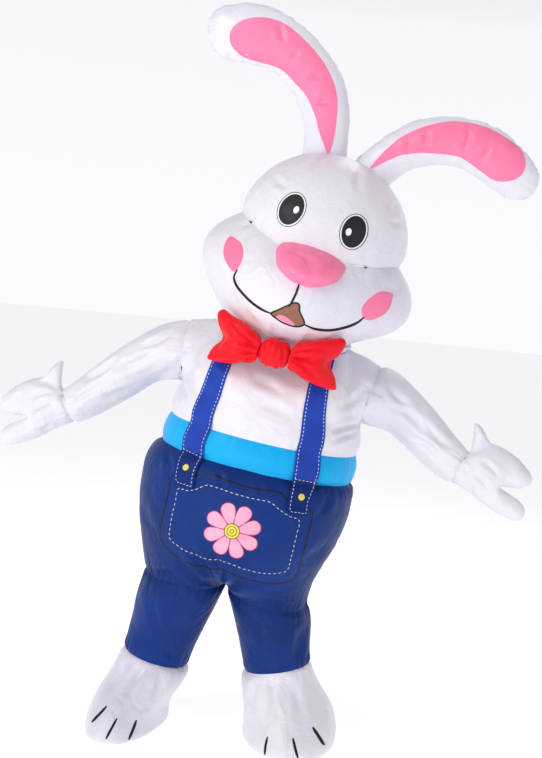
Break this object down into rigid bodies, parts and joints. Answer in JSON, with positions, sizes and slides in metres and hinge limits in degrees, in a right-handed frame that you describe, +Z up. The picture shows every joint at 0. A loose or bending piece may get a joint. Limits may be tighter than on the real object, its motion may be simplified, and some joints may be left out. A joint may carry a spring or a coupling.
{
  "type": "inflatable rabbit mascot costume",
  "caption": "Air-blown full-body rabbit costume, worn and hollow: round head with bent ears, shirt with bow, strapped trousers, gloves and paws, back zip and fan housing.",
  "frame": {"origin": "middle of the shoulder line inside the shirt, where the wearer's shoulders carry the costume", "axes": "+Z up, -Y the way the wearer faces, -X the wearer's right side"},
  "size_m": [1.7446, 0.6951, 2.3749],
  "materials": {
    "white_cloth": "glossy coated polyester",
    "navy_cloth": "glossy coated polyester",
    "band_cloth": "glossy coated polyester",
    "strap_cloth": "satin polyester",
    "pink_cloth": "satin polyester",
    "bow_cloth": "satin polyester",
    "button_plastic": "gloss",
    "zip_tape_cloth": "matt woven tape",
    "zip_metal": "satin",
    "fan_plastic": "moulded, matt"
  },
  "bodies": {
    "costume": {"band_back_left": "band_cloth", "band_back_right": "band_cloth", "band_front": "band_cloth", "bow_knot": "bow_cloth", "bow_lobe_left": "bow_cloth", "bow_lobe_right": "bow_cloth", "button_left": "button_plastic", "button_right": "button_plastic", "crown_back": "white_cloth", "crown_front": "white_cloth", "ear_left_back": "white_cloth", "ear_left_front": "white_cloth", "ear_left_inset": "pink_cloth", "ear_right_back": "white_cloth", "ear_right_front": "white_cloth", "ear_right_inset": "pink_cloth", "fan_housing": "fan_plastic", "foot_left_inner": "white_cloth", "foot_left_outer": "white_cloth", "foot_left_sole": "white_cloth", "foot_right_inner": "white_cloth", "foot_right_outer": "white_cloth", "foot_right_sole": "white_cloth", "glove_left_back": "white_cloth", "glove_left_palm": "white_cloth", "glove_right_back": "white_cloth", "glove_right_palm": "white_cloth", "hips_back_left": "navy_cloth", "hips_back_right": "navy_cloth", "hips_front": "navy_cloth", "leg_left": "navy_cloth", "leg_right": "navy_cloth", "muzzle": "white_cloth", "nape": "white_cloth", "nose": "pink_cloth", "shirt_back_left": "white_cloth", "shirt_back_right": "white_cloth", "shirt_front": "white_cloth", "sleeve_left": "white_cloth", "sleeve_right": "white_cloth", "strap_back_left": "strap_cloth", "strap_back_right": "strap_cloth", "strap_front_left": "strap_cloth", "strap_front_right": "strap_cloth", "zip_slider": "zip_metal", "zip_tape_left": "zip_tape_cloth", "zip_tape_right": "zip_tape_cloth"},
    "pull_tab": {"zip_pull": "zip_metal"}
  },
  "joints": [
    {"name": "pull_tab_hinge", "type": "hinge", "parent": "costume", "child": "pull_tab", "pos_m": [-0.02639, 0.26277, -0.18767], "axis": [0.9903, 0, -0.1392], "range_deg": [0, 150]}
  ]
}
